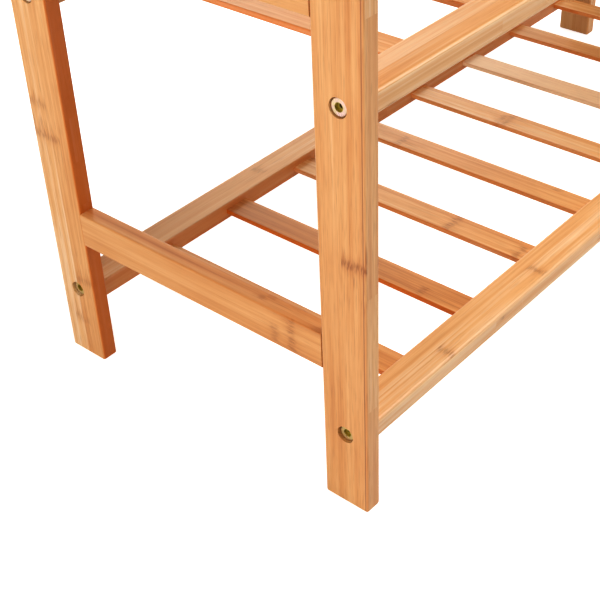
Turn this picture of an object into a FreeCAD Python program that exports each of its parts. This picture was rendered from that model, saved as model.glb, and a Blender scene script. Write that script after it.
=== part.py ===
import FreeCAD, Part
import math
import os

# A free-standing slatted bamboo bench for an entryway, with two shoe shelves under the seat.
# Frame: X runs along the bench, Y from front to back, Z up.
# The origin is on the floor, under the middle of the bench. Sizes are in millimetres.
# side is -1 at the left end and +1 at the right end; row is -1 at the front and +1 at the back.

vector = FreeCAD.Vector
along_x = vector(1, 0, 0)
along_y = vector(0, 1, 0)
along_z = vector(0, 0, 1)
sides = {"left": -1, "right": 1}
rows = {"front": -1, "back": 1}

# Frame
frame_depth = 281.0             # over the outer edges of the front and back legs
seat_height = 450.0
leg_width = 34.0                # along Y
leg_thickness = 12.6            # along X
leg_easing = 1.7
leg_foot_easing = 1.6

# Shelves
lower_shelf_top = 64.3
upper_shelf_top = 288.0
shelf_rail_width = 26.2         # along Y
shelf_rail_height = 14.1
shelf_rail_inset = 4.7          # from the outer edge of the legs
shelf_rail_outer_easing = 3.0
slat_count = 8
slat_width = 21.9
slat_thickness = 3.8
slat_drop = 5.4                 # from a rail's top down to the slats' top
slat_pitch = 80.1
slat_end_offset = 61.0          # from the end of the bench to the first slat's near edge
slat_tenon = 8.0                # how far each slat end runs into its mortise
slat_easing = 0.6

# Rails between the front and back leg of one end
end_rail_height = 25.6
end_rail_above_shelf = 38.0     # from a shelf's top to the rail's lower edge
bar_easing = 1.2

# Seat
board_count = 5
board_thickness = 12.5
board_gap = 9.0
board_easing = 1.5
board_end_easing = 1.35
board_outer_easing = 4.0
seat_overhang = 6.0             # past the legs on all four sides
apron_thickness = 12.5
apron_height = 25.5
bearer_width = 26.2             # along X
bearer_height = 11.0
bearer_count = 4
first_bearer_from_end = 75.6    # from the end of the frame to the first bearer's middle

# Connector bolts and their cross nuts
bolt_diameter = 6.0
bolt_length = 45.0              # under the head
bolt_head_diameter = 10.5
bolt_head_height = 3.4
bolt_head_easing = 0.5
bolt_tip_chamfer = 0.8
bolt_socket_width = 5.0         # across flats
bolt_socket_depth = 2.4
bolt_hole_diameter = 6.4
bolt_hole_depth = 42.0          # into the end of a rail
shelf_bolt_height = 7.8         # bolt axis above a shelf rail's lower face
head_bore_diameter = 12.0
lower_head_recess = 2.2         # from the leg's outer face down to the bolt head
upper_head_recess = 1.0
nut_diameter = 10.0
nut_length = 8.4
nut_from_rail_end = 30.0
nut_skin = 1.2                  # wood left beyond the closed end of the nut's hole
nut_slot_width = 1.2
nut_slot_depth = 1.0

# Dowels
dowel_diameter = 6.0
dowel_chamfer = 0.6
dowel_end_gap = 0.3             # glue room at each end of a dowel
rail_dowel_in_leg = 5.7
rail_dowel_in_rail = 12.0
rail_dowel_offset = 8.5         # from the bolt, towards the middle of the bench
apron_dowel_offset = 8.0        # below the bolt
end_dowel_in_leg = 8.7
end_dowel_in_rail = 15.0
end_dowel_spacing = 13.0

# Seat screws
screw_diameter = 4.0
screw_head_diameter = 8.0
screw_head_height = 2.0
screw_length = 18.0
screw_tip = 3.0
screw_offset = 15.0             # each side of a board's middle
screw_from_apron = 6.0          # least room for a screw beside an apron

# Worked out from the sizes above
frame_length = 2 * slat_end_offset + slat_width + (slat_count - 1) * slat_pitch
half_length = frame_length / 2
half_depth = frame_depth / 2
frame_top = seat_height - board_thickness
bolt_row = half_depth - leg_width / 2           # distance of every bolt from the middle plane
end_rail_bottoms = {
    "lower": lower_shelf_top + end_rail_above_shelf,
    "middle": upper_shelf_top + end_rail_above_shelf,
    "top": frame_top - end_rail_height,
}
shelf_tops = {"lower": lower_shelf_top, "upper": upper_shelf_top}
shelf_recesses = {"lower": lower_head_recess, "upper": upper_head_recess}
apron_bolt_height = frame_top - apron_height / 2
apron_inner = bolt_row - apron_thickness / 2
first_bearer = half_length - first_bearer_from_end
bearer_step = 2 * first_bearer / (bearer_count - 1)
bearer_places = [-first_bearer + index * bearer_step for index in range(bearer_count)]
seat_depth = frame_depth + 2 * seat_overhang
board_width = (seat_depth - (board_count - 1) * board_gap) / board_count
board_pitch = board_width + board_gap
board_places = [board_pitch * (index - (board_count - 1) / 2) for index in range(board_count)]


def box(x_range, y_range, z_range):
    """A block between the low and high value of each range."""
    low = vector(min(x_range), min(y_range), min(z_range))
    high = vector(max(x_range), max(y_range), max(z_range))
    size = high - low
    return Part.makeBox(size.x, size.y, size.z, low)


def centred(middle, width):
    return (middle - width / 2, middle + width / 2)


def inward(edge, width):
    """The range that starts at edge and runs width towards the middle of the bench."""
    return (edge, edge - math.copysign(width, edge))


def rod(start, direction, length, diameter):
    return Part.makeCylinder(diameter / 2, length, start, direction)


def ease(shape, radius, direction, position=None):
    """Round the edges along direction, or only those whose middle passes the position test."""
    chosen = []
    for edge in shape.Edges:
        run = edge.Vertexes[-1].Point - edge.Vertexes[0].Point
        if run.cross(direction).Length > 1e-6 or run.Length < 1e-6:
            continue
        if position is None or position(edge.CenterOfMass):
            chosen.append(edge)
    return shape.makeFillet(radius, chosen)


def cut_all(shape, tools):
    if not tools:
        return shape
    return shape.cut(Part.makeCompound(tools)).Solids[0]


# Where things are joined


def rail_dowel_place(row, bolt_height, is_apron):
    if is_apron:
        return (row * bolt_row, bolt_height - apron_dowel_offset)
    return (row * (bolt_row - rail_dowel_offset), bolt_height)


def shelf_bolt_place(shelf_top):
    """Height of the bolts' axis in the rails of a shelf."""
    return shelf_top - shelf_rail_height + shelf_bolt_height


def bolted_ends():
    """Every bolted corner: side, row, bolt height, head recess, and whether it holds an apron."""
    corners = []
    for side in sides.values():
        for row in rows.values():
            for level, top in shelf_tops.items():
                corners.append((side, row, shelf_bolt_place(top), shelf_recesses[level], False))
            corners.append((side, row, apron_bolt_height, upper_head_recess, True))
    return corners


def end_dowel_heights(bottom):
    return centred(bottom + end_rail_height / 2, end_dowel_spacing)


# Frame


def leg(side, row):
    x_range = inward(side * half_length, leg_thickness)
    y_range = inward(row * half_depth, leg_width)
    block = box(x_range, y_range, (0, frame_top))
    block = ease(block, leg_easing, along_z)
    foot = [edge for edge in block.Edges if edge.BoundBox.ZMax < 1e-6]
    block = block.makeFillet(leg_foot_easing, foot)

    into_bench = along_x * -side
    inner_face = side * (half_length - leg_thickness)
    tools = []
    for corner_side, corner_row, height, recess, is_apron in bolted_ends():
        if (corner_side, corner_row) != (side, row):
            continue
        outer = vector(side * half_length, row * bolt_row, height)
        tools.append(rod(outer, into_bench, recess + bolt_head_height, head_bore_diameter))
        tools.append(rod(outer, into_bench, leg_thickness, bolt_hole_diameter))
        place_y, place_z = rail_dowel_place(row, height, is_apron)
        depth = rail_dowel_in_leg + dowel_end_gap
        mouth = vector(inner_face, place_y, place_z)
        tools.append(rod(mouth, into_bench * -1, depth, dowel_diameter))
    for bottom in end_rail_bottoms.values():
        for height in end_dowel_heights(bottom):
            mouth = vector(side * (half_length - leg_thickness / 2), row * (half_depth - leg_width), height)
            tools.append(rod(mouth, along_y * row, end_dowel_in_leg + dowel_end_gap, dowel_diameter))
    return cut_all(block, tools)


def end_rail(side, bottom):
    inner_edge = half_depth - leg_width
    x_range = inward(side * half_length, leg_thickness)
    block = box(x_range, (-inner_edge, inner_edge), (bottom, bottom + end_rail_height))
    block = ease(block, bar_easing, along_y)
    tools = []
    for row in rows.values():
        for height in end_dowel_heights(bottom):
            mouth = vector(side * (half_length - leg_thickness / 2), row * inner_edge, height)
            tools.append(rod(mouth, along_y * -row, end_dowel_in_rail + dowel_end_gap, dowel_diameter))
    return cut_all(block, tools)


def rail_end_tools(row, bolt_height, is_apron):
    """Bolt, nut and dowel holes in both ends of a long rail or apron."""
    rail_end = half_length - leg_thickness
    tools = []
    for side in sides.values():
        into_bench = along_x * -side
        tools.append(rod(vector(side * rail_end, row * bolt_row, bolt_height), into_bench,
                         bolt_hole_depth, bolt_hole_diameter))
        place_y, place_z = rail_dowel_place(row, bolt_height, is_apron)
        tools.append(rod(vector(side * rail_end, place_y, place_z), into_bench,
                         rail_dowel_in_rail + dowel_end_gap, dowel_diameter))
        nut_x = side * (rail_end - nut_from_rail_end)
        if is_apron:
            mouth = vector(nut_x, row * apron_inner, bolt_height)
            tools.append(rod(mouth, along_y * row, apron_thickness - nut_skin, nut_diameter))
        else:
            mouth = vector(nut_x, row * bolt_row, bolt_height - shelf_bolt_height)
            tools.append(rod(mouth, along_z, shelf_rail_height - nut_skin, nut_diameter))
    return tools


# Shelves


def slat_place(index):
    return -half_length + slat_end_offset + slat_width / 2 + index * slat_pitch


def slat_heights(shelf_top):
    return (shelf_top - slat_drop - slat_thickness, shelf_top - slat_drop)


def shelf_rail(row, shelf_top):
    rail_end = half_length - leg_thickness
    outer = row * (half_depth - shelf_rail_inset)
    y_range = inward(outer, shelf_rail_width)
    block = box((-rail_end, rail_end), y_range, (shelf_top - shelf_rail_height, shelf_top))
    block = ease(block, bar_easing, along_x, lambda point: abs(point.y - y_range[1]) < 1e-6)
    block = ease(block, shelf_rail_outer_easing, along_x, lambda point: abs(point.y - outer) < 1e-6)
    tools = rail_end_tools(row, shelf_bolt_place(shelf_top), False)
    mortise_floor = y_range[1] + row * slat_tenon
    for index in range(slat_count):
        x_range = centred(slat_place(index), slat_width)
        tools.append(box(x_range, (y_range[1], mortise_floor), slat_heights(shelf_top)))
    return cut_all(block, tools)


def shelf_slat(index, shelf_top):
    slat_end = half_depth - shelf_rail_inset - shelf_rail_width + slat_tenon
    x_range = centred(slat_place(index), slat_width)
    block = box(x_range, (-slat_end, slat_end), slat_heights(shelf_top))
    return ease(block, slat_easing, along_y)


# Seat


def screw_rows():
    """Y of every screw in one bearer: two under each board, where the apron leaves room."""
    places = []
    for middle in board_places:
        for place in centred(middle, 2 * screw_offset):
            if abs(place) < apron_inner - screw_from_apron:
                places.append(place)
    return places


def apron(row):
    rail_end = half_length - leg_thickness
    y_range = centred(row * bolt_row, apron_thickness)
    block = box((-rail_end, rail_end), y_range, (frame_top - apron_height, frame_top))
    block = ease(block, bar_easing, along_x)
    tools = rail_end_tools(row, apron_bolt_height, True)
    for middle in bearer_places:
        housing = (row * apron_inner, row * bolt_row)
        tools.append(box(centred(middle, bearer_width), housing, (frame_top - bearer_height, frame_top)))
    return cut_all(block, tools)


def screw(place_x, place_y):
    """A countersunk screw, driven up from the bearer's underside."""
    start = vector(place_x, place_y, frame_top - bearer_height)
    radius = screw_diameter / 2
    head = Part.makeCone(screw_head_diameter / 2, radius, screw_head_height, start, along_z)
    shank = rod(start, along_z, screw_length - screw_tip, screw_diameter)
    tip = Part.makeCone(radius, 0, screw_tip, start + along_z * (screw_length - screw_tip), along_z)
    return head.fuse([shank, tip]).removeSplitter().Solids[0]


def bearer(middle):
    x_range = centred(middle, bearer_width)
    block = box(x_range, (-bolt_row, bolt_row), (frame_top - bearer_height, frame_top))
    block = ease(block, bar_easing, along_y, lambda point: point.z < frame_top - 1e-6)
    return cut_all(block, [screw(middle, place) for place in screw_rows()])


def seat_board(index):
    middle = board_places[index]
    board_end = half_length + seat_overhang
    y_range = centred(middle, board_width)
    block = box((-board_end, board_end), y_range, (frame_top, seat_height))
    edges = [abs(y) for y in y_range]
    is_outer = max(edges) > seat_depth / 2 - 1e-6
    if is_outer:
        outer_y = math.copysign(seat_depth / 2, middle)
        block = ease(block, board_outer_easing, along_x, lambda point: abs(point.y - outer_y) < 1e-6)
        inner_y = outer_y - math.copysign(board_width, middle)
        block = ease(block, board_easing, along_x, lambda point: abs(point.y - inner_y) < 1e-6)
    else:
        block = ease(block, board_easing, along_x)
    rim = [edge for edge in block.Edges if edge.BoundBox.XLength < 1e-6]
    block = block.makeFillet(board_end_easing, rim)
    screws = []
    for place_x in bearer_places:
        for place_y in screw_rows():
            if min(y_range) < place_y < max(y_range):
                screws.append(screw(place_x, place_y))
    return cut_all(block, screws)


# Hardware


def bolt(side, row, height, recess):
    """A flat-headed connector bolt with a hexagon socket, its axis along X."""
    into_bench = along_x * -side
    face = vector(side * (half_length - recess), row * bolt_row, height)
    head = rod(face, into_bench, bolt_head_height, bolt_head_diameter)
    rim = [edge for edge in head.Edges if abs(edge.CenterOfMass.x - face.x) < 1e-6]
    head = head.makeFillet(bolt_head_easing, rim)
    corner_radius = bolt_socket_width / math.sqrt(3)
    corners = []
    for index in range(7):
        angle = math.radians(60 * index)
        corners.append(face + vector(0, math.cos(angle), math.sin(angle)) * corner_radius)
    socket = Part.Face(Part.makePolygon(corners)).extrude(into_bench * bolt_socket_depth)
    under_head = face + into_bench * bolt_head_height
    shank = rod(under_head, into_bench, bolt_length, bolt_diameter)
    tip_x = (under_head + into_bench * bolt_length).x
    tip = [edge for edge in shank.Edges if abs(edge.CenterOfMass.x - tip_x) < 1e-6]
    shank = shank.makeChamfer(bolt_tip_chamfer, tip)
    return head.cut(socket).fuse(shank).Solids[0]


def cross_nut(side, row, height, is_apron):
    """A slotted barrel nut lying across the bolt, which screws through its middle."""
    middle = vector(side * (half_length - leg_thickness - nut_from_rail_end), row * bolt_row, height)
    direction = along_y * row if is_apron else along_z
    start = middle - direction * (nut_length / 2)
    barrel = rod(start, direction, nut_length, nut_diameter)
    thread = rod(middle - along_x * nut_diameter, along_x, 2 * nut_diameter, bolt_diameter)
    slot_depths = (-nut_slot_depth, nut_slot_depth)
    slot = box((-nut_diameter, nut_diameter), centred(0, nut_slot_width), slot_depths)
    if is_apron:
        slot = box((-nut_diameter, nut_diameter), slot_depths, centred(0, nut_slot_width))
    slot.translate(start)
    return barrel.cut([thread, slot]).Solids[0]


def dowel(mouth, direction, depth_before, depth_after):
    """A glued dowel through the joint at mouth, running both ways from it."""
    start = mouth - direction * depth_before
    length = depth_before + depth_after
    pin = rod(start, direction, length, dowel_diameter)
    return pin.makeChamfer(dowel_chamfer, [edge for edge in pin.Edges if len(edge.Vertexes) == 1])


def rail_dowels():
    pins = []
    for side, row, height, recess, is_apron in bolted_ends():
        place_y, place_z = rail_dowel_place(row, height, is_apron)
        mouth = vector(side * (half_length - leg_thickness), place_y, place_z)
        pins.append(dowel(mouth, along_x * -side, rail_dowel_in_leg, rail_dowel_in_rail))
    return pins


def end_rail_dowels():
    pins = []
    heights = [height for bottom in end_rail_bottoms.values() for height in end_dowel_heights(bottom)]
    for side in sides.values():
        place_x = side * (half_length - leg_thickness / 2)
        for row in rows.values():
            for height in heights:
                mouth = vector(place_x, row * (half_depth - leg_width), height)
                pins.append(dowel(mouth, along_y * -row, end_dowel_in_leg, end_dowel_in_rail))
    return pins


def build():
    nodes = {}
    for side_name, side in sides.items():
        for row_name, row in rows.items():
            nodes[f"leg_{row_name}_{side_name}"] = leg(side, row)
        for level, bottom in end_rail_bottoms.items():
            nodes[f"{level}_end_rail_{side_name}"] = end_rail(side, bottom)
    for level, top in shelf_tops.items():
        for row_name, row in rows.items():
            nodes[f"{level}_shelf_{row_name}_rail"] = shelf_rail(row, top)
        for index in range(slat_count):
            nodes[f"{level}_shelf_slat_{index + 1}"] = shelf_slat(index, top)
    for row_name, row in rows.items():
        nodes[f"seat_{row_name}_apron"] = apron(row)
    for index, middle in enumerate(bearer_places):
        nodes[f"seat_bearer_{index + 1}"] = bearer(middle)
    for index in range(board_count):
        nodes[f"seat_board_{index + 1}"] = seat_board(index)
    corners = bolted_ends()
    nodes["frame_bolts"] = Part.makeCompound([bolt(*corner[:4]) for corner in corners])
    nodes["cross_nuts"] = Part.makeCompound([cross_nut(*corner[:3], corner[4]) for corner in corners])
    nodes["rail_dowels"] = Part.makeCompound(rail_dowels())
    nodes["end_rail_dowels"] = Part.makeCompound(end_rail_dowels())
    nodes["seat_screws"] = Part.makeCompound([screw(x, y) for x in bearer_places for y in screw_rows()])
    return nodes


os.makedirs("parts", exist_ok=True)
for name, shape in build().items():
    shape.exportStep(f"parts/{name}.step")
    print(name, len(shape.Solids), "solids, valid" if shape.isValid() else "solids, NOT VALID")
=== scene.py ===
import math

import bpy
from mathutils import Matrix, Vector

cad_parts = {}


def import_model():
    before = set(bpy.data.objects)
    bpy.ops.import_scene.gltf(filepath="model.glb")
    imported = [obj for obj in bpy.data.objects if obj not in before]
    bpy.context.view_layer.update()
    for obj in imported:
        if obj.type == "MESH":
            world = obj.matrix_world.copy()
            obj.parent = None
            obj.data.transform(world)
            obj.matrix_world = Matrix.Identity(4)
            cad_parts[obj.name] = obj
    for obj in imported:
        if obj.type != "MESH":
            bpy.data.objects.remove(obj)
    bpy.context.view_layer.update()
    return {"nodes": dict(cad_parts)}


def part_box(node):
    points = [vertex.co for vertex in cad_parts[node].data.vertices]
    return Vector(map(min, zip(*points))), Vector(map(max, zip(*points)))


# A slatted bamboo bench. Everything is in metres in the frame of the CAD model:
# X along the bench, Y from front to back, Z up, the floor at Z = 0.

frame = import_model()
nodes = frame["nodes"]

MM = 0.001


# Shader building

class Graph:
    """A node tree with short calls for the nodes that the materials are made of."""

    def __init__(self, tree):
        self.tree = tree

    def add(self, kind, **settings):
        node = self.tree.nodes.new("ShaderNode" + kind)
        for key, value in settings.items():
            setattr(node, key, value)
        return node

    def put(self, value, socket):
        if isinstance(value, bpy.types.NodeSocket):
            self.tree.links.new(value, socket)
        else:
            socket.default_value = value

    def math(self, operation, *values):
        node = self.add("Math", operation=operation)
        for value, socket in zip(values, node.inputs):
            self.put(value, socket)
        return node.outputs[0]

    def plus(self, first, second):
        return self.math("ADD", first, second)

    def minus(self, first, second):
        return self.math("SUBTRACT", first, second)

    def times(self, first, second):
        return self.math("MULTIPLY", first, second)

    def ramp(self, value, low, high, to_low=0.0, to_high=1.0, smooth=False):
        """value from low..high to to_low..to_high, held at both ends."""
        node = self.add("MapRange", interpolation_type="SMOOTHSTEP" if smooth else "LINEAR")
        for item, socket in zip((value, low, high, to_low, to_high), node.inputs):
            self.put(item, socket)
        return node.outputs[0]

    def vector(self, x, y, z):
        node = self.add("CombineXYZ")
        for value, socket in zip((x, y, z), node.inputs):
            self.put(value, socket)
        return node.outputs[0]

    def split(self, vector):
        node = self.add("SeparateXYZ")
        self.put(vector, node.inputs[0])
        return node.outputs[0], node.outputs[1], node.outputs[2]

    def noise(self, vector, detail=2.0, roughness=0.5):
        node = self.add("TexNoise", noise_dimensions="3D")
        self.put(vector, node.inputs["Vector"])
        node.inputs["Scale"].default_value = 1.0
        node.inputs["Detail"].default_value = detail
        node.inputs["Roughness"].default_value = roughness
        return node.outputs["Fac"]

    def random(self, value):
        """Three independent values from 0 to 1 for each value."""
        node = self.add("TexWhiteNoise", noise_dimensions="1D")
        self.put(value, node.inputs["W"])
        return self.split(node.outputs["Color"])

    def mix(self, amount, first, second):
        node = self.add("Mix", data_type="RGBA")
        self.put(amount, node.inputs[0])
        self.put(first, node.inputs[6])
        self.put(second, node.inputs[7])
        return node.outputs[2]

    def scale_of_colours(self, value, stops):
        """The colour at value on a scale of (place, colour) stops."""
        node = self.add("ValToRGB")
        self.put(value, node.inputs[0])
        marks = node.color_ramp.elements
        while len(marks) < len(stops):
            marks.new(1.0)
        for mark, (place, colour) in zip(marks, stops):
            mark.position = place
            mark.color = colour
        return node.outputs[0]


def linear(red, green, blue):
    """A linear colour from one given as 0 to 255."""
    def convert(value):
        value /= 255
        return value / 12.92 if value <= 0.04045 else ((value + 0.055) / 1.055) ** 2.4
    return (convert(red), convert(green), convert(blue), 1.0)


def bamboo_group():
    """Lacquered laminated bamboo, as one node group.

    Its inputs give the place along the grain, across the strips and through the layers, in metres; the
    distance from the nearest end, side and long edge; and the distance along the grain from a chosen knuckle.
    Figure is how strongly the dark streaks show. The output Gloss is lower on sawn sides and eased edges.
    """
    tree = bpy.data.node_groups.new("bamboo", "ShaderNodeTree")
    for name in ("Along", "Across", "Through", "From end", "From side", "From edge", "From line",
                 "From knuckle", "Knuckle strength", "Seed", "Strip", "Layer", "Tone", "Side tone and shade",
                 "Edge tone and shade", "Figure"):
        tree.interface.new_socket(name, in_out="INPUT", socket_type="NodeSocketFloat")
    tree.interface.new_socket("Color", in_out="OUTPUT", socket_type="NodeSocketColor")
    tree.interface.new_socket("Roughness", in_out="OUTPUT", socket_type="NodeSocketFloat")
    tree.interface.new_socket("Height", in_out="OUTPUT", socket_type="NodeSocketFloat")
    tree.interface.new_socket("Gloss", in_out="OUTPUT", socket_type="NodeSocketFloat")
    graph = Graph(tree)
    given = tree.nodes.new("NodeGroupInput").outputs
    result = tree.nodes.new("NodeGroupOutput").inputs
    ramp, noise, vector, mix = graph.ramp, graph.noise, graph.vector, graph.mix
    plus, minus, times = graph.plus, graph.minus, graph.times

    # One strip of bamboo: its own tone and its own run of knuckles
    wander = minus(noise(vector(times(given["Along"], 6.0), given["Seed"], 0.0), detail=1.0), 0.5)
    across = plus(given["Across"], times(wander, 1.2 * MM))
    strip = graph.math("FLOOR", graph.math("DIVIDE", across, given["Strip"]))
    layer = graph.math("FLOOR", graph.math("DIVIDE", given["Through"], given["Layer"]))
    cell = plus(plus(times(strip, 7.31), times(layer, 3.17)), times(given["Seed"], 13.7))
    tone, phase, pick = graph.random(cell)

    # Distance along the grain from the nearest knuckle, which runs unevenly across the strip
    pitch = 0.235
    turns = plus(graph.math("DIVIDE", given["Along"], pitch), phase)
    from_own = times(minus(graph.math("FRACT", turns), 0.5), pitch)
    ripple = minus(noise(vector(0.0, times(across, 420.0), plus(cell, 4.0)), detail=2.0), 0.5)
    uneven = times(ripple, 8 * MM)
    has_own = ramp(pick, 0.66, 0.68)
    own_near = plus(graph.math("ABSOLUTE", plus(from_own, uneven)), minus(1.0, has_own))
    chosen_near = graph.math("ABSOLUTE", plus(given["From knuckle"], uneven))
    is_chosen = graph.math("LESS_THAN", chosen_near, own_near)
    nearness = graph.math("MINIMUM", own_near, chosen_near)
    strength = plus(times(is_chosen, given["Knuckle strength"]), times(minus(1.0, is_chosen), 0.4))
    swirl = ramp(nearness, 0.0, 10 * MM, 1.0, 0.0, smooth=True)

    # Fibres run along the grain and bend around a knuckle
    bent = plus(across, times(ripple, times(swirl, 3 * MM)))
    shifted = plus(given["Along"], times(phase, 3.0))

    def fibres(along_scale, across_scale, offset, detail, roughness):
        return noise(vector(plus(times(shifted, along_scale), offset), times(bent, across_scale),
                            times(given["Through"], across_scale)), detail, roughness)

    bands = minus(fibres(4.0, 260.0, 1.0, 2.0, 0.6), 0.5)
    streaks = fibres(34.0, 900.0, 2.0, 2.0, 0.6)
    flecks = fibres(60.0, 1150.0, 3.0, 1.0, 0.5)
    fine = fibres(60.0, 3800.0, 4.0, 2.0, 0.6)
    clouds = minus(noise(vector(times(shifted, 11.0), times(across, 45.0), times(given["Through"], 45.0)),
                         detail=2.0), 0.5)

    # Colour, from straw to toasted
    level = plus(plus(times(tone, 0.45), given["Tone"]), plus(times(bands, 1.7), times(clouds, 0.8)))
    toasted = linear(196, 124, 62)
    burnt = linear(140, 72, 32)
    colour = graph.scale_of_colours(ramp(level, -0.5, 1.5), (
        (0.0, linear(251, 220, 178)), (0.25, linear(240, 190, 128)), (0.5, linear(225, 162, 97)),
        (0.75, toasted), (1.0, linear(168, 92, 40))))
    near_knuckle = ramp(nearness, 3 * MM, 34 * MM, 1.0, 0.0)
    streak = times(ramp(streaks, 0.52, 0.7), plus(0.42, times(near_knuckle, 0.4)))
    colour = mix(times(streak, given["Figure"]), colour, toasted)
    fleck = times(ramp(flecks, 0.56, 0.7), plus(0.22, times(near_knuckle, 0.3)))
    colour = mix(times(fleck, given["Figure"]), colour, burnt)

    # The knuckle itself: a warm halo and a broken dark band
    core = ramp(nearness, 0.6 * MM, 4.6 * MM, 1.0, 0.0, smooth=True)
    broken = noise(vector(times(given["Along"], 170.0), times(across, 900.0), cell))
    mark = times(times(core, ramp(broken, 0.38, 0.6)), strength)
    colour = mix(times(times(swirl, strength), 0.55), colour, toasted)
    colour = mix(times(mark, 0.9), colour, burnt)

    # Glue lines between strips and between layers
    def seam(place, width):
        part = graph.math("FRACT", graph.math("DIVIDE", place, width))
        part = times(graph.math("MINIMUM", part, minus(1.0, part)), width)
        return ramp(part, 0.05 * MM, 0.35 * MM, 1.0, 0.0)

    glue = graph.math("MAXIMUM", seam(across, given["Strip"]), seam(given["Through"], given["Layer"]))
    colour = mix(times(glue, 0.25), colour, toasted)

    # Sawn sides are darker orange: partly their own colour, partly painted shade, as strong as Side tone sets
    # for each piece. End grain drinks the lacquer. Eased edges are darker: partly lacquer pooling there,
    # partly painted shade of the rounding.
    side = times(ramp(given["From side"], 0.2 * MM, 1.0 * MM, 1.0, 0.0), given["Side tone and shade"])
    colour = mix(side, colour, linear(216, 108, 10))
    end = ramp(given["From end"], 0.02 * MM, 0.08 * MM, 1.0, 0.0)
    pores = noise(vector(0.0, times(across, 1700.0), times(given["Through"], 1700.0)))
    colour = mix(times(end, 0.5), colour, toasted)
    colour = mix(times(end, ramp(pores, 0.5, 0.66, 0.0, 0.5)), colour, burnt)
    # Painted shade: darker colour on the eased edges, as strong as Edge tone sets, standing partly for the
    # shading of the rounding
    edge = times(ramp(given["From edge"], 0.3 * MM, 1.2 * MM, 1.0, 0.0), given["Edge tone and shade"])
    colour = mix(edge, colour, linear(206, 116, 46))
    # Painted reflection: a dark line along the near leg's eased edge, standing in for the dark studio that
    # the rounding reflects
    line = ramp(given["From line"], 0.1 * MM, 0.6 * MM, 0.75, 0.0)
    colour = mix(line, colour, linear(150, 72, 26))

    rough = plus(0.36, times(streak, 0.2))
    rough = plus(rough, times(minus(fine, 0.5), 0.14))
    rough = plus(rough, times(end, 0.16))
    height = times(plus(fine, times(streaks, 0.8)), 0.03 * MM)
    height = minus(height, times(glue, 0.02 * MM))
    height = plus(height, times(core, 0.06 * MM))
    graph.put(colour, result["Color"])
    graph.put(rough, result["Roughness"])
    graph.put(height, result["Height"])
    graph.put(minus(1.0, graph.math("MAXIMUM", side, edge)), result["Gloss"])
    return tree


def principled(material):
    """The material's graph and its Principled shader."""
    material.use_nodes = True
    tree = material.node_tree
    shader = tree.nodes.get("Principled BSDF")
    if shader is None:
        tree.nodes.clear()
        shader = tree.nodes.new("ShaderNodeBsdfPrincipled")
        output = tree.nodes.new("ShaderNodeOutputMaterial")
        tree.links.new(shader.outputs[0], output.inputs["Surface"])
    return Graph(tree), shader


FAR = 10.0      # farther than any place on the bench
X, Y, Z = 0, 1, 2
coat_weight = 0.42
bolt_above_rail_middle = 0.75 * MM


def bamboo_material(name, seed, grain, across, tone=0.0, side=0.0, edge=0.15, strip=16.5, layer=4.2,
                    knuckles=(), line=None, figure=0.5):
    """Bamboo for one CAD node. grain and across are the axes its fibres run along and its strips lie across.

    Each knuckle is its place along the grain, the range that it covers across the strips, both in
    millimetres from the node's lowest corner, and its strength. line is where a painted dark line, standing
    in for the dark reflection along an eased edge, shows on the broad faces, in millimetres across them.
    """
    material = bpy.data.materials.new("bamboo_" + name)
    graph, shader = principled(material)
    plus, minus, times = graph.plus, graph.minus, graph.times
    through = ({X, Y, Z} - {grain, across}).pop()
    low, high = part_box(name)
    place = graph.split(graph.add("TexCoord").outputs["Object"])
    start = [minus(place[axis], low[axis]) for axis in (X, Y, Z)]
    reach = [graph.math("MINIMUM", start[axis], minus(high[axis], place[axis])) for axis in (X, Y, Z)]
    from_knuckle = FAR
    strength = 0.0
    for along, first, last, dark in knuckles:
        inside = times(graph.math("GREATER_THAN", start[across], first * MM),
                       graph.math("LESS_THAN", start[across], last * MM))
        distance = plus(minus(start[grain], along * MM), times(minus(1.0, inside), FAR))
        nearer = graph.math("LESS_THAN", graph.math("ABSOLUTE", distance),
                            graph.math("ABSOLUTE", from_knuckle))
        strength = plus(times(nearer, dark), times(minus(1.0, nearer), strength))
        from_knuckle = plus(times(nearer, distance), times(minus(1.0, nearer), from_knuckle))
    from_line = FAR
    if line is not None:
        past_face = graph.ramp(reach[through], 0.5 * MM, 0.8 * MM, 0.0, FAR)
        from_line = plus(graph.math("ABSOLUTE", minus(start[across], line * MM)), past_face)
    core = graph.add("Group", node_tree=bamboo)
    for socket, value in (
            ("Along", start[grain]), ("Across", start[across]), ("Through", start[through]),
            ("From end", reach[grain]), ("From side", reach[across]),
            ("From edge", graph.math("MAXIMUM", reach[across], reach[through])), ("From line", from_line),
            ("From knuckle", from_knuckle), ("Knuckle strength", strength), ("Seed", seed),
            ("Strip", strip * MM), ("Layer", layer * MM), ("Tone", tone), ("Side tone and shade", side),
            ("Edge tone and shade", edge), ("Figure", figure)):
        graph.put(value, core.inputs[socket])
    bump = graph.add("Bump")
    bump.inputs["Strength"].default_value = 0.6
    bump.inputs["Distance"].default_value = 1.0
    graph.put(core.outputs["Height"], bump.inputs["Height"])
    graph.put(core.outputs["Color"], shader.inputs["Base Color"])
    graph.put(core.outputs["Roughness"], shader.inputs["Roughness"])
    graph.put(bump.outputs[0], shader.inputs["Normal"])
    graph.put(times(core.outputs["Gloss"], coat_weight), shader.inputs["Coat Weight"])
    shader.inputs["Specular IOR Level"].default_value = 0.5 - 0.2 * side
    shader.inputs["Coat Roughness"].default_value = 0.34
    return material


def paint(name, material):
    """Gives one CAD node its material."""
    piece = nodes[name]
    piece.data.materials.clear()
    piece.data.materials.append(material)


bamboo = bamboo_group()


def lay_out(name):
    """The grain axis and the strip axis of a bamboo node."""
    if name.startswith("leg_"):
        return Z, Y
    if "end_rail" in name:
        return Y, Z
    if "slat" in name or "bearer" in name:
        return Y, X
    if "apron" in name:
        return X, Z
    return X, Y
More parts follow.
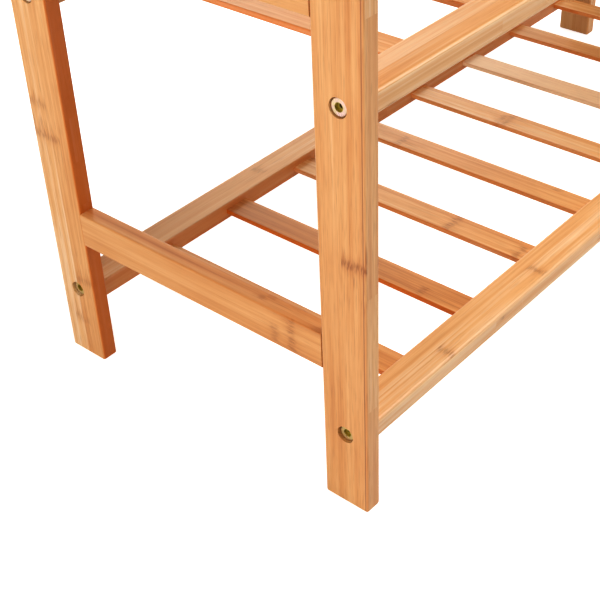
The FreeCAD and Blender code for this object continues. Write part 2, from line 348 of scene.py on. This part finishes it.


# What differs from piece to piece. side paints shade as well as the sides' own colour: darker on faces deep
# under the seat and shelves, light on the lit slat 6. On the near leg, edge and line paint the shading and
# dark reflection of its eased edge.
character = {
    "leg_front_left": {"figure": 1.0, "layer": 13, "edge": 0.55, "line": 1.5, "tone": -0.05,
                       "knuckles": [(187, 0, 17, 0.95)]},
    "leg_back_left": {"figure": 0.85, "side": 0.8, "tone": -0.15,
                      "knuckles": [(182, 8, 33, 0.5), (32, 9, 25, 0.35)]},
    "lower_end_rail_left": {"figure": 0.4, "side": 0.2, "tone": 0.35, "knuckles": [(23.5, 0, 25.6, 0.55)]},
    "lower_shelf_front_rail": {"figure": 0.35, "edge": 0.5, "tone": -0.4, "strip": 13,
                               "knuckles": [(198, 2, 16, 0.4)]},
    "lower_shelf_back_rail": {"figure": 0.35, "tone": -0.1, "side": 0.45, "strip": 13,
                              "knuckles": [(182, 8, 20, 0.35)]},
    "upper_shelf_front_rail": {"figure": 0.35, "tone": -0.35, "strip": 13},
    "lower_shelf_slat_1": {"tone": 0.3},
    "lower_shelf_slat_2": {"tone": 0.4, "side": 0.9, "knuckles": [(44, 0, 12, 0.4)]},
    "lower_shelf_slat_3": {"tone": 0.05, "side": 0.45, "knuckles": [(77, 0, 21.9, 0.5)]},
    "lower_shelf_slat_4": {"tone": -0.05, "side": 0.4},
    "lower_shelf_slat_5": {"tone": -0.05, "side": 0.4, "knuckles": [(132, 0, 21.9, 0.4)]},
    "lower_shelf_slat_6": {"tone": -1.2, "side": 0.1},
}
hardware = {"frame_bolts", "cross_nuts", "rail_dowels", "end_rail_dowels", "seat_screws"}
for number, name in enumerate(sorted(set(nodes) - hardware)):
    grain, across = lay_out(name)
    traits = {"side": 0.6} if "slat" in name else {}
    traits.update(character.get(name, {}))
    paint(name, bamboo_material(name, seed=number + 1.0, grain=grain, across=across, **traits))
for name, grain, across in (("rail_dowels", X, Y), ("end_rail_dowels", Y, X)):
    paint(name, bamboo_material(name, seed=90.0, grain=grain, across=across, tone=-0.4))


# Metal

def steel(name, colour, tint, metallic, roughness):
    """A plated steel whose plating differs a little from patch to patch.

    Returns the material, its graph, its shader and its colour.
    """
    material = bpy.data.materials.new(name)
    graph, shader = principled(material)
    scaled = graph.add("VectorMath", operation="SCALE")
    graph.put(graph.add("TexCoord").outputs["Object"], scaled.inputs[0])
    scaled.inputs["Scale"].default_value = 300.0
    patches = graph.noise(scaled.outputs[0], detail=3.0)
    plating = graph.mix(graph.ramp(patches, 0.4, 0.6), colour, tint)
    graph.put(graph.ramp(patches, 0.3, 0.7, roughness - 0.05, roughness + 0.07), shader.inputs["Roughness"])
    bump = graph.add("Bump")
    bump.inputs["Strength"].default_value = 0.3
    bump.inputs["Distance"].default_value = 0.02 * MM
    graph.put(patches, bump.inputs["Height"])
    graph.put(bump.outputs[0], shader.inputs["Normal"])
    shader.inputs["Metallic"].default_value = metallic
    graph.put(plating, shader.inputs["Base Color"])
    return material, graph, shader, plating


def bolt_zinc():
    """Yellow zinc: pinkish cream on the bolt heads, with painted shade: olive and dark down in their sockets,
    olive on the deeper-set heads and dark round their rims.
    """
    head_radius = 5.25 * MM
    socket_radius = 2.95 * MM
    socket_floor_radius = 1.8 * MM
    material, graph, shader, plating = steel(
        "yellow_zinc", linear(250, 216, 206), linear(244, 220, 178), metallic=0.55, roughness=0.3)
    minus, times = graph.minus, graph.times
    low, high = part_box("leg_front_left")
    row = (low.y + high.y) / 2
    heights = []
    for rail in ("lower_shelf_front_rail", "upper_shelf_front_rail", "seat_front_apron"):
        rail_low, rail_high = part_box(rail)
        above_middle = 0 if "apron" in rail else bolt_above_rail_middle
        heights.append((rail_low.z + rail_high.z) / 2 + above_middle)
    x, y, z = graph.split(graph.add("TexCoord").outputs["Object"])
    off_y = graph.plus(graph.math("ABSOLUTE", y), row)
    off_z = FAR
    for height in heights:
        off_z = graph.math("MINIMUM", off_z, graph.math("ABSOLUTE", minus(z, height)))
    radius = graph.math("SQRT", graph.plus(times(off_y, off_y), times(off_z, off_z)))
    depth = minus(abs(low.x), graph.math("ABSOLUTE", x))
    olive = linear(200, 178, 78)
    # Painted shade: the deeper-set heads turn olive, standing in for the shade of their recesses
    painted_recess_shade = graph.ramp(depth, 1.5 * MM, 2.1 * MM, 0.0, 0.65)
    plating = graph.mix(painted_recess_shade, plating, olive)
    # Painted shade: the socket walls are olive and the socket floor dark brown, standing in for the shade
    # down in the socket
    in_socket = graph.ramp(radius, socket_radius - 0.25 * MM, socket_radius, 1.0, 0.0)
    colour = graph.mix(in_socket, plating, olive)
    near_axis = graph.ramp(radius, socket_floor_radius - 0.6 * MM, socket_floor_radius, 1.0, 0.0)
    socket_floor_shade = times(in_socket, near_axis)
    colour = graph.mix(socket_floor_shade, colour, linear(58, 32, 14))
    # Painted shade: a dark ring round the rim of a deeper-set head, where its counterbore casts shade
    rim_shade = graph.ramp(radius, head_radius - 0.35 * MM, head_radius)
    colour = graph.mix(times(rim_shade, graph.ramp(depth, 1.4 * MM, 3 * MM)), colour, linear(120, 96, 52))
    graph.put(colour, shader.inputs["Base Color"])
    return material


paint("frame_bolts", bolt_zinc())
plated_steel = steel("plated_steel", linear(196, 198, 204), linear(180, 184, 194), 1.0, 0.35)[0]
paint("cross_nuts", plated_steel)
paint("seat_screws", plated_steel)


# Floor, light and camera

lit_point = Vector((-0.1, 0, 0.1))
softbox_size = 1.2
softbox_distance = 2.2


def floor():
    size = 40.0     # half its side
    mesh = bpy.data.meshes.new("floor")
    corners = [(-size, -size, 0), (size, -size, 0), (size, size, 0), (-size, size, 0)]
    mesh.from_pydata(corners, [], [(0, 1, 2, 3)])
    piece = bpy.data.objects.new("floor", mesh)
    bpy.context.scene.collection.objects.link(piece)
    material = bpy.data.materials.new("floor")
    graph, shader = principled(material)
    shader.inputs["Base Color"].default_value = (0.8, 0.8, 0.8, 1)
    shader.inputs["Roughness"].default_value = 0.9
    shader.inputs["Specular IOR Level"].default_value = 0.1
    # It is overexposed to the camera, as a white sweep is, but it lights the bench as a pale grey floor does
    glow = graph.add("Emission")
    glow.inputs["Strength"].default_value = 0.8
    both = graph.add("AddShader")
    choice = graph.add("MixShader")
    graph.put(glow.outputs[0], both.inputs[0])
    graph.put(shader.outputs[0], both.inputs[1])
    graph.put(graph.add("LightPath").outputs["Is Camera Ray"], choice.inputs[0])
    graph.put(shader.outputs[0], choice.inputs[1])
    graph.put(both.outputs[0], choice.inputs[2])
    graph.put(choice.outputs[0], material.node_tree.nodes["Material Output"].inputs["Surface"])
    mesh.materials.append(material)


def soft_light(name, heading, height, power, colour=(1, 1, 1)):
    """A softbox that looks at the bench from heading and height.

    Both are in degrees: heading from +X towards +Y, height above the floor.
    """
    heading, height = math.radians(heading), math.radians(height)
    away = Vector((math.cos(height) * math.cos(heading), math.cos(height) * math.sin(heading),
                   math.sin(height)))
    light = bpy.data.lights.new(name, "AREA")
    light.shape = "SQUARE"
    light.size = softbox_size
    light.energy = power
    light.color = colour
    piece = bpy.data.objects.new(name, light)
    piece.location = lit_point + away * softbox_distance
    piece.rotation_euler = (-away).to_track_quat("-Z", "Y").to_euler()
    bpy.context.scene.collection.objects.link(piece)


def camera(place, heading, down, roll, lens):
    """A camera at place that looks along heading, in degrees from +X towards +Y, tilted down and rolled."""
    heading, down, roll = (math.radians(angle) for angle in (heading, down, roll))
    forward = Vector((math.cos(down) * math.cos(heading), math.cos(down) * math.sin(heading),
                      -math.sin(down)))
    right = forward.cross(Vector((0, 0, 1))).normalized()
    up = right.cross(forward)
    right, up = (right * math.cos(roll) + up * math.sin(roll), up * math.cos(roll) - right * math.sin(roll))
    lens_data = bpy.data.cameras.new("camera")
    lens_data.lens = lens
    lens_data.sensor_width = 36
    lens_data.clip_start = 0.01
    piece = bpy.data.objects.new("camera", lens_data)
    piece.matrix_world = Matrix.Translation(place) @ Matrix((right, up, -forward)).transposed().to_4x4()
    bpy.context.scene.collection.objects.link(piece)
    bpy.context.scene.camera = piece


def world(strength):
    scene_world = bpy.data.worlds.new("studio")
    bpy.context.scene.world = scene_world
    scene_world.use_nodes = True
    background = scene_world.node_tree.nodes["Background"]
    background.inputs[0].default_value = (1, 1, 1, 1)
    background.inputs[1].default_value = strength


floor()
world(0.2)
soft_light("left", heading=180, height=18, power=30)
soft_light("front_right", heading=315, height=50, power=28)
soft_light("front", heading=270, height=12, power=3.5, colour=(1, 0.92, 0.82))
soft_light("back_right", heading=45, height=18, power=16, colour=(1, 0.82, 0.64))
soft_light("top", heading=270, height=75, power=10.5)
camera(Vector((-0.7839, -0.4850, 0.5807)), heading=42.353, down=36.639, roll=-2.781, lens=74.87)

bpy.context.scene.view_settings.view_transform = "Standard"
bpy.context.scene.view_settings.gamma = 0.78
